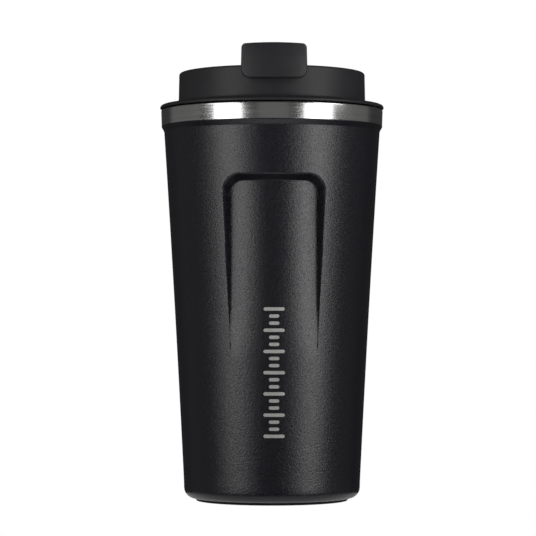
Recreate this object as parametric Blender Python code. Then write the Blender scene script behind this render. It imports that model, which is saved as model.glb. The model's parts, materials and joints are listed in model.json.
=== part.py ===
"""Insulated travel mug: a double-walled steel flask with a screw-on lid and a flip-up drink cover.

Frame: metres, +Z up, origin at the centre of the foot's underside. The front of the mug, with the
grip recess and the finger tab, faces -Y.
"""

import math

import bpy
import bmesh

MM = 0.001
GAP = 0.3 * MM  # clearance kept between pieces that touch or are welded on the real mug

# ---------------------------------------------------------------- body, driving dimensions
PAD_THICKNESS = 0.7 * MM
PAD_RADIUS = 30.0 * MM
SHELL_WALL = 0.7 * MM
SHELL_BOTTOM_Z = PAD_THICKNESS + GAP
SHELL_FOOT_OPENING_RADIUS = 28.8 * MM
FOOT_CORNER_RADIUS = 4.2 * MM
CONE_LOW_Z = 7.9 * MM
CONE_LOW_RADIUS = 34.86 * MM
CONE_HIGH_Z = 145.8 * MM
CONE_HIGH_RADIUS = 42.75 * MM
CONE_HOLLOW = 0.26 * MM  # how far the cone's side curves in at mid height
BULGE_LOW_Z = 147.7 * MM
BULGE_LOW_RADIUS = 43.8 * MM
RIM_Z = 154.6 * MM
RIM_RADIUS = 44.2 * MM
RIM_CORNER_RADIUS = 1.0 * MM

# Arch-shaped grip recess stamped into the front. It runs out where its floor meets the cone.
RECESS_TOP_Z = 126.9 * MM
RECESS_END_Z = 58.0 * MM
RECESS_LIP_TOP_HALF_WIDTH = 19.9 * MM
RECESS_FLOOR_TOP_HALF_WIDTH = 17.5 * MM
RECESS_END_HALF_WIDTH = 16.6 * MM
RECESS_FLOOR_RADIUS = 37.6 * MM
RECESS_FLOOR_CURVE = 31.0 * MM  # radius of the floor's own arc, tighter than the body
RECESS_TOP_WALL = 2.1 * MM  # height taken up by the wall at the top
RECESS_LIP_CORNER = 7.6 * MM
RECESS_FLOOR_CORNER = 5.2 * MM
RECESS_FILLET = 0.4 * MM
RECESS_WALL_MIN = 0.3 * MM  # least width of a side wall
RECESS_INNER_SPREAD = 0.5 * MM  # how much wider the recess is on the inside of the sheet
RECESS_ARC = math.radians(60)

# Inner liner
LINER_WALL = 0.6 * MM
LINER_BOTTOM_Z = 9.0 * MM
LINER_LOW_RADIUS = 32.0 * MM
LINER_HIGH_RADIUS = 35.5 * MM
LINER_HIGH_Z = 136.0 * MM
LINER_CORNER_RADIUS = 6.0 * MM
MOUTH_RADIUS = 40.2 * MM
SHOULDER_Z = 140.8 * MM

# Vacuum parts
FOIL_THICKNESS = 0.2 * MM
FOIL_LOW_Z = 22.0 * MM
FOIL_HIGH_Z = 112.0 * MM
GETTER_RADIUS = 5.0 * MM
GETTER_HEIGHT = 2.2 * MM
GETTER_X = 14.0 * MM
BASE_PLATE_WALL = 0.8 * MM
PORT_DIMPLE_RADIUS = 7.0 * MM
PORT_DIMPLE_DEPTH = 1.4 * MM
PORT_RADIUS = 1.2 * MM

# ---------------------------------------------------------------- lid, driving dimensions
FLANGE_RADIUS = 44.35 * MM
FLANGE_LOW_Z = RIM_Z + GAP
FLANGE_HIGH_Z = 156.3 * MM
WALL_FOOT_FILLET = 1.8 * MM
WALL_TOP_Z = 169.1 * MM
WALL_TOP_RADIUS = 36.8 * MM
WALL_LOW_RADIUS = 37.05 * MM
WALL_INNER_RADIUS = 34.9 * MM
WALL_LIP_RADIUS = 0.9 * MM
DECK_Z = 162.5 * MM
DECK_THICKNESS = 2.0 * MM
SPIGOT_RADIUS = 36.2 * MM
SPIGOT_INNER_RADIUS = 34.6 * MM
SPIGOT_LOW_Z = 151.0 * MM
TOOL_REACH = 20.0 * MM  # half-length of the tools that drill right across

THREAD_STARTS = 2
THREAD_LEAD = 12.0 * MM
THREAD_LOW_Z = 142.4 * MM
THREAD_HIGH_Z = 152.4 * MM
THREAD_CREST_HALF = 0.5 * MM
THREAD_FLANK = 0.6 * MM
THREAD_RUN_OUT = 1.5 * MM
THREAD_STATION_STEP = 0.9 * MM
LINER_THREAD_HEIGHT = 1.1 * MM
PLUG_THREAD_HEIGHT = 1.5 * MM

PLUG_RADIUS = 38.3 * MM
PLUG_INNER_RADIUS = 36.5 * MM
PLUG_LOW_Z = 138.0 * MM
PLUG_FLOOR = 1.6 * MM
GASKET_RADIUS = 38.7 * MM
GASKET_GROOVE_RADIUS = 36.9 * MM
GASKET_LOW_Z = 138.5 * MM
GASKET_HIGH_Z = 141.2 * MM

DRINK_HOLE_Y = -26.5 * MM
DRINK_HOLE_SIZE = (16.0 * MM, 7.6 * MM)
VENT_Y = -8.0 * MM
VENT_RADIUS = 1.5 * MM
CHANNEL_WALL = 1.2 * MM

# Flip cover
HINGE_Y = 16.0 * MM
HINGE_Z = 168.4 * MM
PIN_RADIUS = 1.0 * MM
PIN_HALF_LENGTH = 11.4 * MM
EAR_INNER_X = 8.2 * MM
EAR_THICKNESS = 3.4 * MM
EAR_RADIUS = 3.2 * MM
EAR_FLARE = 1.2 * MM  # how much wider each ear is at its foot, each side
EAR_SINK = 0.8 * MM
BARREL_RADIUS = 3.4 * MM
BARREL_HALF_LENGTH = 7.8 * MM
ARM_LOW_Z = WALL_TOP_Z + GAP
ARM_HIGH_Z = 172.2 * MM
ARM_HALF_WIDTH = 10.0 * MM
TAB_INNER_RADIUS = 37.6 * MM
TAB_OUTER_RADIUS = 39.8 * MM
TAB_HALF_WIDTH = 12.85 * MM
TAB_LOW_Z = 163.8 * MM
TAB_HIGH_Z = 177.4 * MM
TAB_LOW_CORNER = 3.5 * MM
TAB_HIGH_CORNER = 1.6 * MM
TAB_CROWN = 0.35 * MM  # how far the tab's top edge arches up
STOPPER_OVERLAP = 1.4 * MM  # how far the stopper's flange reaches past the hole
STOPPER_TOP_Z = 165.2 * MM
STOPPER_LOW_Z = 160.2 * MM
STOPPER_CLEARANCE = 0.5 * MM
VENT_CAP_RADIUS = 3.0 * MM
POST_RADIUS = 1.5 * MM
POST_LENGTH = 1.5 * MM  # how far each post reaches into its stopper

SIDES = 40  # facets round a full turn, hidden pieces
LID_SIDES = 48  # facets round a full turn, lid
# Degrees either side of the front, close together across the side walls of the recess
FRONT_ANGLES = (6, 12, 17, 20, 22.5, 24.5, 26, 27, 27.4, 27.9, 28.35, 28.8, 29.3, 31, 36, 46)


# ---------------------------------------------------------------- scene and materials
def clear_scene():
    for obj in list(bpy.data.objects):
        bpy.data.objects.remove(obj, do_unlink=True)


def make_material(name, colour, roughness, metallic):
    material = bpy.data.materials.new(name)
    material.use_nodes = True
    shader = material.node_tree.nodes["Principled BSDF"]
    shader.inputs["Base Color"].default_value = (*colour, 1.0)
    shader.inputs["Roughness"].default_value = roughness
    shader.inputs["Metallic"].default_value = metallic
    material.diffuse_color = (*colour, 1.0)
    return material


def add_object(name, mesh_builder, material):
    """Link a new object made from a bmesh, shaded smooth with its sharp edges kept."""
    mesh = bpy.data.meshes.new(name)
    bmesh.ops.recalc_face_normals(mesh_builder, faces=mesh_builder.faces)
    mesh_builder.to_mesh(mesh)
    mesh_builder.free()
    mesh.materials.append(material)
    mesh.shade_smooth()
    mesh.set_sharp_from_angle(angle=math.radians(35))
    obj = bpy.data.objects.new(name, mesh)
    bpy.context.scene.collection.objects.link(obj)
    return obj


def combine(target, tool, operation):
    """Join, cut or trim target with a tool object, which is only a guide afterwards."""
    modifier = target.modifiers.new(tool.name, 'BOOLEAN')
    modifier.operation = operation
    modifier.solver = 'EXACT'
    modifier.object = tool
    tool.hide_render = True
    tool.display_type = 'WIRE'


# ---------------------------------------------------------------- outlines
def rounded(corners, steps=2):
    """Closed outline from (u, v, radius) corners, each rounded with an arc."""
    outline = []
    count = len(corners)
    for index, (u, v, radius) in enumerate(corners):
        if radius == 0:
            outline.append((u, v))
            continue
        before = corners[index - 1]
        after = corners[(index + 1) % count]
        to_before = math.atan2(before[1] - v, before[0] - u)
        to_after = math.atan2(after[1] - v, after[0] - u)
        opening = (to_after - to_before) % math.tau
        convex = opening > math.pi
        half = (math.tau - opening) / 2 if convex else opening / 2
        middle = to_before - half if convex else to_before + half
        centre_u = u + radius / math.sin(half) * math.cos(middle)
        centre_v = v + radius / math.sin(half) * math.sin(middle)
        start = to_before + math.pi / 2 if convex else to_before - math.pi / 2
        sweep = math.pi - 2 * half
        for step in range(steps + 1):
            turn = sweep * step / steps
            angle = start + turn if convex else start - turn
            outline.append((centre_u + radius * math.cos(angle), centre_v + radius * math.sin(angle)))
    return outline


def racetrack(width, depth, centre_y, steps=6):
    """Outline of a slot with round ends, long in X."""
    radius = depth / 2
    reach = width / 2 - radius
    points = []
    for side in (1, -1):
        for step in range(steps + 1):
            angle = math.pi * (step / steps - 0.5)
            points.append((side * (reach + radius * math.cos(angle)),
                           centre_y + side * radius * math.sin(angle)))
    return points


def circle(radius, centre, steps=16):
    return [(centre[0] + radius * math.cos(math.tau * step / steps),
             centre[1] + radius * math.sin(math.tau * step / steps)) for step in range(steps)]


def offset_wall(points, thickness):
    """The far side of a sheet: each point moved to the left of the path, in reverse order."""
    far_side = []
    last = len(points) - 1
    for index, (r, z) in enumerate(points):
        ahead = points[min(index + 1, last)]
        behind = points[max(index - 1, 0)]
        length = math.hypot(ahead[0] - behind[0], ahead[1] - behind[1])
        across = (-(ahead[1] - behind[1]) / length, (ahead[0] - behind[0]) / length)
        far_side.append((r + thickness * across[0], z + thickness * across[1]))
    return far_side[::-1]


# ---------------------------------------------------------------- solids
def turned(name, profile, material, sides=SIDES, angles=None, reshape=None):
    """Solid of revolution of an (r, z) section that runs anticlockwise, upwards on its outer side.

    reshape(r, angle, z, index) gives each point its radius and angle.
    """
    if angles is None:
        angles = [math.tau * side / sides for side in range(sides)]
    builder = bmesh.new()
    rings = []
    for index, (r, z) in enumerate(profile):
        if r == 0:
            rings.append([builder.verts.new((0, 0, z))])
            continue
        ring = []
        for angle in angles:
            radius, turn = reshape(r, angle, z, index) if reshape else (r, angle)
            ring.append(builder.verts.new((radius * math.cos(turn), radius * math.sin(turn), z)))
        rings.append(ring)
    for index, low in enumerate(rings):
        high = rings[(index + 1) % len(rings)]
        if len(low) == 1 and len(high) == 1:
            continue
        for here in range(len(angles)):
            there = (here + 1) % len(angles)
            if len(low) == 1:
                builder.faces.new((low[0], high[there], high[here]))
            elif len(high) == 1:
                builder.faces.new((low[here], low[there], high[0]))
            else:
                builder.faces.new((low[here], low[there], high[there], high[here]))
    return add_object(name, builder, material)


def extruded(name, outline, low, high, material, axis='Z'):
    """Prism of an outline. Its plane is XY for axis Z, YZ for axis X and XZ for axis Y."""
    place = {
        'Z': lambda u, v, w: (u, v, w),
        'X': lambda u, v, w: (w, u, v),
        'Y': lambda u, v, w: (u, w, v),
    }[axis]
    builder = bmesh.new()
    bottom = [builder.verts.new(place(u, v, low)) for u, v in outline]
    top = [builder.verts.new(place(u, v, high)) for u, v in outline]
    builder.faces.new(bottom[::-1])
    builder.faces.new(top)
    for here in range(len(outline)):
        there = (here + 1) % len(outline)
        builder.faces.new((bottom[here], bottom[there], top[there], top[here]))
    return add_object(name, builder, material)


# ---------------------------------------------------------------- body
def cone_radius(z):
    """Outer radius of the body between the foot corner and the neck."""
    share = (z - CONE_LOW_Z) / (CONE_HIGH_Z - CONE_LOW_Z)
    straight = CONE_LOW_RADIUS + share * (CONE_HIGH_RADIUS - CONE_LOW_RADIUS)
    return straight - 4 * CONE_HOLLOW * share * (1 - share)


def away_from_front(angle):
    """Signed angle from the front, -pi to pi."""
    return (angle + math.pi / 2 + math.pi) % math.tau - math.pi


def recess_half_angles(z):
    """Angles from the front to the edge of the recess floor and to its lip at a height."""
    share = min(1.0, max(0.0, (z - RECESS_END_Z) / (RECESS_TOP_Z - RECESS_END_Z)))
    floor_x = RECESS_END_HALF_WIDTH + share * (RECESS_FLOOR_TOP_HALF_WIDTH - RECESS_END_HALF_WIDTH)
    lip_x = RECESS_END_HALF_WIDTH + share * (RECESS_LIP_TOP_HALF_WIDTH - RECESS_END_HALF_WIDTH)
    lip_radius = max(cone_radius(z), RECESS_FLOOR_RADIUS)
    floor_angle = math.asin(floor_x / RECESS_FLOOR_RADIUS)
    lip_angle = math.asin(lip_x / lip_radius)
    return floor_angle, max(lip_angle, floor_angle + RECESS_WALL_MIN / lip_radius)


def recess_floor_radius(from_front, z):
    """Radius of the recess floor at an angle; its tight curve eases off towards the end."""
    ahead = RECESS_FLOOR_RADIUS - RECESS_FLOOR_CURVE
    chord = math.sqrt(RECESS_FLOOR_CURVE ** 2 - (ahead * math.sin(from_front)) ** 2)
    curved = ahead * math.cos(from_front) + chord
    share = min(1.0, max(0.0, (z - RECESS_END_Z) / (RECESS_TOP_Z - RECESS_END_Z)))
    return curved + (1 - share) ** 4 * (RECESS_FLOOR_RADIUS - curved)


def inside_arch(across, down, corner):
    """Distance inside an arch with round shoulders, negative outside it."""
    if across < corner and down < corner:
        return corner - math.hypot(corner - across, corner - down)
    return min(across, down)


def recess_depth(angle, z, spread):
    """How far the recess, made wider all round by spread, is pressed in at an angle round the body."""
    radius = cone_radius(z)
    from_front = abs(away_from_front(angle))
    if from_front > RECESS_ARC:
        return 0.0
    full = radius - recess_floor_radius(from_front, z)
    if full <= 0:
        return 0.0
    floor_angle, lip_angle = recess_half_angles(z)
    down = RECESS_TOP_Z - z
    lip = inside_arch((lip_angle - from_front) * radius, down, RECESS_LIP_CORNER)
    floor_edge = inside_arch((floor_angle - from_front) * radius, down - RECESS_TOP_WALL,
                             RECESS_FLOOR_CORNER)
    wall = full * (lip + spread) / max(lip - floor_edge, RECESS_WALL_MIN)
    blend = max(0.0, RECESS_FILLET - abs(wall - full))
    return max(0.0, min(wall, full) - blend * blend / (4 * RECESS_FILLET))


def swung_along_recess(angle, z):
    """An angle of the front moved so that its column runs along the edges of the recess."""
    from_front = away_from_front(angle)
    size = abs(from_front)
    if size > RECESS_ARC:
        return angle
    before = (0.0, *recess_half_angles(RECESS_TOP_Z), RECESS_ARC)
    after = (0.0, *recess_half_angles(z), RECESS_ARC)
    span = next(index for index in range(3) if size <= before[index + 1])
    share = (size - before[span]) / (before[span + 1] - before[span])
    swung = after[span] + share * (after[span + 1] - after[span])
    return math.copysign(swung, from_front) - math.pi / 2


def outer_shell(material):
    """Coated shell: foot corner, hollow-sided cone with the grip recess, flared rim and its inner land."""
    cone_stations = [CONE_LOW_Z, 30 * MM, 50 * MM, 60 * MM, 72 * MM, 84 * MM, 96 * MM, 108 * MM, 115 * MM]
    below_top = (7.6, 5.8, 4.4, 3.4, 2.7, 2.1, 1.4, 0.7, 0.1, -0.8)
    cone_stations += [RECESS_TOP_Z - drop * MM for drop in below_top]
    cone_stations += [136 * MM, CONE_HIGH_Z]
    foot = rounded([
        (SHELL_FOOT_OPENING_RADIUS, SHELL_BOTTOM_Z, 0),
        (CONE_LOW_RADIUS - 0.2 * MM, SHELL_BOTTOM_Z, FOOT_CORNER_RADIUS),
        (CONE_LOW_RADIUS, CONE_LOW_Z, 0),
    ])[:-1]
    bulge = rounded([
        (CONE_HIGH_RADIUS, CONE_HIGH_Z, 0),
        (BULGE_LOW_RADIUS, BULGE_LOW_Z, 0.6 * MM),
        (RIM_RADIUS, RIM_Z, RIM_CORNER_RADIUS),
        (MOUTH_RADIUS + LINER_WALL + GAP, RIM_Z, 0),
    ])[1:]
    outer = foot + [(cone_radius(z), z) for z in cone_stations] + bulge
    section = outer + offset_wall(outer, SHELL_WALL)
    inner_start = len(outer)
    degrees = [-angle for angle in reversed(FRONT_ANGLES)] + [0] + list(FRONT_ANGLES)
    degrees += range(FRONT_ANGLES[-1] + 10, 360 - FRONT_ANGLES[-1], 10)
    angles = [math.radians(degree - 90) for degree in degrees]

    def recessed(r, angle, z, index):
        swung = swung_along_recess(angle, z)
        spread = RECESS_INNER_SPREAD if index >= inner_start else 0.0
        return r - recess_depth(swung, z, spread), swung

    return turned("outer_shell", section, material, angles=angles, reshape=recessed)


def thread_ridge(angle, z, phase):
    """Height, 0 to 1, of a right-hand ridge at a point of the threaded zone."""
    pitch = THREAD_LEAD / THREAD_STARTS
    along = (z - THREAD_LEAD * angle / math.tau - phase * pitch) % pitch
    from_crest = min(along, pitch - along)
    ridge = min(1.0, max(0.0, (THREAD_CREST_HALF + THREAD_FLANK - from_crest) / THREAD_FLANK))
    run_out = min(z - THREAD_LOW_Z, THREAD_HIGH_Z - z) / THREAD_RUN_OUT
    return ridge * min(1.0, max(0.0, run_out))


def thread_stations():
    """Heights of the rings that carry a thread."""
    height = THREAD_HIGH_Z - THREAD_LOW_Z
    count = round(height / THREAD_STATION_STEP)
    return [THREAD_LOW_Z + height * index / count for index in range(count + 1)]


def inner_liner(material):
    """Steel cup of the drink chamber. Its mouth carries the rolled threads."""
    wall = LINER_WALL
    inside = rounded([
        (0, LINER_BOTTOM_Z + wall, 0),
        (LINER_LOW_RADIUS, LINER_BOTTOM_Z + wall, LINER_CORNER_RADIUS),
        (LINER_HIGH_RADIUS, LINER_HIGH_Z, 2 * MM),
        (MOUTH_RADIUS, SHOULDER_Z, 1 * MM),
        (MOUTH_RADIUS, RIM_Z, 0),
    ])
    neck_index = len(inside) - 1
    outside = offset_wall(inside, -wall)[::-1]
    outside[0] = (0, LINER_BOTTOM_Z)
    outside[-1] = (MOUTH_RADIUS + wall, RIM_Z)
    inside[neck_index:neck_index] = [(MOUTH_RADIUS, z) for z in thread_stations()]
    section = outside + inside[::-1]
    inner_start = len(outside)

    def threaded(r, angle, z, index):
        if index < inner_start or not math.isclose(r, MOUTH_RADIUS, abs_tol=0.01 * MM):
            return r, angle
        return r - LINER_THREAD_HEIGHT * thread_ridge(angle, z, 0.0), angle

    return turned("inner_liner", section, material, reshape=threaded)


def liner_outer_radius(z):
    share = (z - LINER_BOTTOM_Z) / (LINER_HIGH_Z - LINER_BOTTOM_Z)
    return LINER_LOW_RADIUS + share * (LINER_HIGH_RADIUS - LINER_LOW_RADIUS) + LINER_WALL


def foil_wrap(material):
    """Reflective foil sleeve round the liner, inside the vacuum space."""
    low = liner_outer_radius(FOIL_LOW_Z) + GAP
    high = liner_outer_radius(FOIL_HIGH_Z) + GAP
    section = [
        (low, FOIL_LOW_Z),
        (low + FOIL_THICKNESS, FOIL_LOW_Z),
        (high + FOIL_THICKNESS, FOIL_HIGH_Z),
        (high, FOIL_HIGH_Z),
    ]
    return turned("foil_wrap", section, material)


def getter(material):
    """Pill of getter metal held under the liner, which keeps the vacuum."""
    top = LINER_BOTTOM_Z - GAP
    pill = turned("getter", rounded([
        (0, top - GETTER_HEIGHT, 0),
        (GETTER_RADIUS, top - GETTER_HEIGHT, 0.6 * MM),
        (GETTER_RADIUS, top, 0),
        (0, top, 0),
    ], steps=2), material, sides=20)
    pill.location.x = GETTER_X
    return pill


def base_plate(material):
    """Plate that closes the foot of the outer shell, dimpled round its evacuation port."""
    low = SHELL_BOTTOM_Z
    wall = BASE_PLATE_WALL
    edge = SHELL_FOOT_OPENING_RADIUS - GAP
    under = [
        (PORT_RADIUS, low + PORT_DIMPLE_DEPTH),
        (PORT_DIMPLE_RADIUS - PORT_DIMPLE_DEPTH, low + PORT_DIMPLE_DEPTH),
        (PORT_DIMPLE_RADIUS, low),
        (edge, low),
        (edge, low + wall),
        (PORT_DIMPLE_RADIUS - 0.3 * wall, low + wall),
        (PORT_DIMPLE_RADIUS - PORT_DIMPLE_DEPTH - 0.3 * wall, low + PORT_DIMPLE_DEPTH + wall),
        (PORT_RADIUS, low + PORT_DIMPLE_DEPTH + wall),
    ]
    return turned("base_plate", under, material)


def port_seal(material):
    """Glass bead in the dimple, with a stem up the evacuation port."""
    low = SHELL_BOTTOM_Z + 0.2 * MM
    ceiling = SHELL_BOTTOM_Z + PORT_DIMPLE_DEPTH
    return turned("port_seal", [
        (0, low),
        (2.4 * MM, low),
        (3.0 * MM, low + 0.5 * MM),
        (2.4 * MM, ceiling - GAP),
        (PORT_RADIUS - GAP, ceiling - GAP),
        (PORT_RADIUS - GAP, ceiling + BASE_PLATE_WALL + 0.3 * MM),
        (0, ceiling + BASE_PLATE_WALL + 0.5 * MM),
    ], material, sides=20)


def foot_pad(material):
    """Rubber disc under the foot."""
    return turned("foot_pad", rounded([
        (0, 0, 0),
        (PAD_RADIUS, 0, 0.4 * MM),
        (PAD_RADIUS, PAD_THICKNESS, 0),
        (0, PAD_THICKNESS, 0),
    ], steps=2), material, sides=LID_SIDES)


# ---------------------------------------------------------------- lid
def lid_shell(material):
    """Drinking wall, flange and deck of the lid, with the drink hole, vent and hinge ears."""
    body = turned("lid_shell", rounded([
        (0, DECK_Z - DECK_THICKNESS, 0),
        (SPIGOT_INNER_RADIUS, DECK_Z - DECK_THICKNESS, 0),
        (SPIGOT_INNER_RADIUS, SPIGOT_LOW_Z, 0),
        (SPIGOT_RADIUS, SPIGOT_LOW_Z, 0),
        (SPIGOT_RADIUS, FLANGE_LOW_Z, 0),
        (FLANGE_RADIUS, FLANGE_LOW_Z, 0.3 * MM),
        (FLANGE_RADIUS, FLANGE_HIGH_Z, 1.0 * MM),
        (WALL_LOW_RADIUS, FLANGE_HIGH_Z, WALL_FOOT_FILLET),
        (WALL_TOP_RADIUS, WALL_TOP_Z, WALL_LIP_RADIUS),
        (WALL_INNER_RADIUS, WALL_TOP_Z, WALL_LIP_RADIUS),
        (WALL_INNER_RADIUS, DECK_Z, 1.0 * MM),
        (0, DECK_Z, 0),
    ]), material, sides=LID_SIDES)
    foot_reach = EAR_RADIUS + EAR_FLARE
    ear_outline = [(HINGE_Y - foot_reach, DECK_Z - EAR_SINK), (HINGE_Y + foot_reach, DECK_Z - EAR_SINK)]
    ear_outline += [(HINGE_Y + EAR_RADIUS * math.cos(math.pi * step / 8),
                     HINGE_Z + EAR_RADIUS * math.sin(math.pi * step / 8)) for step in range(9)]
    for side, label in ((-1, "left"), (1, "right")):
        near = side * EAR_INNER_X
        far = side * (EAR_INNER_X + EAR_THICKNESS)
        ear = extruded("ear_" + label, ear_outline, min(near, far), max(near, far), material, axis='X')
        combine(body, ear, 'UNION')
    pin_bore = extruded("pin_bore", circle(PIN_RADIUS + GAP, (HINGE_Y, HINGE_Z)),
                        -TOOL_REACH, TOOL_REACH, material, axis='X')
    combine(body, pin_bore, 'DIFFERENCE')
    low = DECK_Z - 2 * DECK_THICKNESS
    high = DECK_Z + DECK_THICKNESS
    drink_hole = extruded("drink_hole", racetrack(*DRINK_HOLE_SIZE, DRINK_HOLE_Y), low, high, material)
    combine(body, drink_hole, 'DIFFERENCE')
    vent_hole = extruded("vent_hole", circle(VENT_RADIUS, (0, VENT_Y)), low, high, material)
    combine(body, vent_hole, 'DIFFERENCE')
    return body


def lid_plug(material):
    """Threaded cup under the lid. Its air space insulates, and two chimneys pass drink and air."""
    floor_z = PLUG_LOW_Z + PLUG_FLOOR
    top = FLANGE_LOW_Z - GAP
    outline = [
        (0, PLUG_LOW_Z),
        (GASKET_GROOVE_RADIUS - 0.3 * MM, PLUG_LOW_Z),
        (GASKET_GROOVE_RADIUS, PLUG_LOW_Z + 0.3 * MM),
        (GASKET_GROOVE_RADIUS, GASKET_HIGH_Z + GAP),
        (PLUG_RADIUS, GASKET_HIGH_Z + GAP),
    ]
    outline += [(PLUG_RADIUS, z) for z in thread_stations()]
    outline += [
        (PLUG_RADIUS, top),
        (PLUG_INNER_RADIUS, top),
        (PLUG_INNER_RADIUS, GASKET_HIGH_Z + 1 * MM),
        (GASKET_GROOVE_RADIUS - 1.6 * MM, GASKET_HIGH_Z - 1 * MM),
        (GASKET_GROOVE_RADIUS - 1.6 * MM, floor_z),
        (0, floor_z),
    ]

    def threaded(r, angle, z, index):
        if not math.isclose(r, PLUG_RADIUS, abs_tol=0.01 * MM):
            return r, angle
        return r + PLUG_THREAD_HEIGHT * thread_ridge(angle, z, 0.5), angle

    cup = turned("lid_plug", outline, material, reshape=threaded)
    width, depth = DRINK_HOLE_SIZE
    chimney_top = DECK_Z - DECK_THICKNESS - GAP
    chimneys = (
        ("drink_channel", racetrack(width + 2 * CHANNEL_WALL, depth + 2 * CHANNEL_WALL, DRINK_HOLE_Y),
         racetrack(width, depth, DRINK_HOLE_Y)),
        ("vent_channel", circle(VENT_RADIUS + CHANNEL_WALL, (0, VENT_Y)), circle(VENT_RADIUS, (0, VENT_Y))),
    )
    for label, outside, inside in chimneys:
        tube = extruded(label + "_wall", outside, floor_z - 0.8 * MM, chimney_top, material)
        combine(cup, tube, 'UNION')
        bore = extruded(label + "_bore", inside, PLUG_LOW_Z - 2 * MM, DECK_Z, material)
        combine(cup, bore, 'DIFFERENCE')
    return cup


def lid_gasket(material):
    """Silicone ring in the plug's groove, chamfered to seal on the liner's shoulder."""
    inner = GASKET_GROOVE_RADIUS + GAP
    chamfer = 1.2 * MM
    return turned("lid_gasket", [
        (inner, GASKET_LOW_Z),
        (GASKET_RADIUS - chamfer, GASKET_LOW_Z),
        (GASKET_RADIUS, GASKET_LOW_Z + chamfer),
        (GASKET_RADIUS, GASKET_HIGH_Z - 0.5 * MM),
        (GASKET_RADIUS - 0.5 * MM, GASKET_HIGH_Z),
        (inner, GASKET_HIGH_Z),
    ], material)


# ---------------------------------------------------------------- flip cover
def flip_cover(material):
    """Arm from the hinge barrel over the drinking wall to the finger tab at the front."""
    barrel = extruded("flip_cover", circle(BARREL_RADIUS, (HINGE_Y, HINGE_Z), steps=20),
                      -BARREL_HALF_LENGTH, BARREL_HALF_LENGTH, material, axis='X')
    waist_y = HINGE_Y - BARREL_RADIUS - 2 * MM
    arm = extruded("arm", [
        (-BARREL_HALF_LENGTH + 0.1 * MM, HINGE_Y + 0.5 * MM),
        (-BARREL_HALF_LENGTH + 0.1 * MM, waist_y),
        (-ARM_HALF_WIDTH, waist_y - 3 * MM),
        (-ARM_HALF_WIDTH, -TAB_INNER_RADIUS - 0.4 * MM),
        (ARM_HALF_WIDTH, -TAB_INNER_RADIUS - 0.4 * MM),
        (ARM_HALF_WIDTH, waist_y - 3 * MM),
        (BARREL_HALF_LENGTH - 0.1 * MM, waist_y),
        (BARREL_HALF_LENGTH - 0.1 * MM, HINGE_Y + 0.5 * MM),
    ], ARM_LOW_Z, ARM_HIGH_Z, material)
    combine(barrel, arm, 'UNION')
    tab = turned("tab", [
        (TAB_INNER_RADIUS, TAB_LOW_Z - 2 * MM),
        (TAB_OUTER_RADIUS, TAB_LOW_Z - 2 * MM),
        (TAB_OUTER_RADIUS, TAB_HIGH_Z + 2 * MM),
        (TAB_INNER_RADIUS, TAB_HIGH_Z + 2 * MM),
    ], material, sides=96)
    tab_outline = extruded("tab_outline", rounded([
        (-TAB_HALF_WIDTH, TAB_LOW_Z, TAB_LOW_CORNER),
        (TAB_HALF_WIDTH, TAB_LOW_Z, TAB_LOW_CORNER),
        (TAB_HALF_WIDTH - 0.3 * MM, TAB_HIGH_Z - TAB_CROWN, TAB_HIGH_CORNER),
        (TAB_HALF_WIDTH / 2, TAB_HIGH_Z - TAB_CROWN / 4, 0),
        (TAB_HALF_WIDTH / 6, TAB_HIGH_Z, 0),
        (-TAB_HALF_WIDTH / 6, TAB_HIGH_Z, 0),
        (-TAB_HALF_WIDTH / 2, TAB_HIGH_Z - TAB_CROWN / 4, 0),
        (-TAB_HALF_WIDTH + 0.3 * MM, TAB_HIGH_Z - TAB_CROWN, TAB_HIGH_CORNER),
    ], steps=4), -TAB_OUTER_RADIUS - 5 * MM, -20 * MM, material, axis='Y')
    combine(tab, tab_outline, 'INTERSECT')
    combine(barrel, tab, 'UNION')
    width, depth = DRINK_HOLE_SIZE
    buried = 0.5 * MM
    boss = extruded("stopper_boss", racetrack(width, depth, DRINK_HOLE_Y),
                    STOPPER_TOP_Z, ARM_LOW_Z + buried, material)
    combine(barrel, boss, 'UNION')
    for label, y in (("stopper_post", DRINK_HOLE_Y), ("vent_post", VENT_Y)):
        post = extruded(label, circle(POST_RADIUS, (0, y), steps=12),
                        STOPPER_TOP_Z - POST_LENGTH, ARM_LOW_Z + buried, material)
        combine(barrel, post, 'UNION')
    bore = extruded("barrel_bore", circle(PIN_RADIUS + GAP, (HINGE_Y, HINGE_Z)),
                    -TOOL_REACH, TOOL_REACH, material, axis='X')
    combine(barrel, bore, 'DIFFERENCE')
    return barrel


def hinge_pin(material):
    """Steel pin through both ears and the barrel."""
    return extruded("hinge_pin", circle(PIN_RADIUS, (HINGE_Y, HINGE_Z), steps=16),
                    -PIN_HALF_LENGTH, PIN_HALF_LENGTH, material, axis='X')


def drink_stopper(material):
    """Silicone plug: a flange that rests over the hole and a tongue that fills it."""
    width, depth = DRINK_HOLE_SIZE
    top = STOPPER_TOP_Z - GAP
    flange = extruded("drink_stopper",
                      racetrack(width + 2 * STOPPER_OVERLAP, depth + 2 * STOPPER_OVERLAP, DRINK_HOLE_Y),
                      DECK_Z + GAP, top, material)
    inset = 2 * STOPPER_CLEARANCE
    tongue = extruded("stopper_tongue", racetrack(width - inset, depth - 2 * inset, DRINK_HOLE_Y),
                      STOPPER_LOW_Z, DECK_Z + 1 * MM, material)
    combine(flange, tongue, 'UNION')
    socket = extruded("stopper_socket", circle(POST_RADIUS + GAP, (0, DRINK_HOLE_Y), steps=12),
                      STOPPER_TOP_Z - POST_LENGTH - GAP, STOPPER_TOP_Z + 1 * MM, material)
    combine(flange, socket, 'DIFFERENCE')
    return flange


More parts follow.
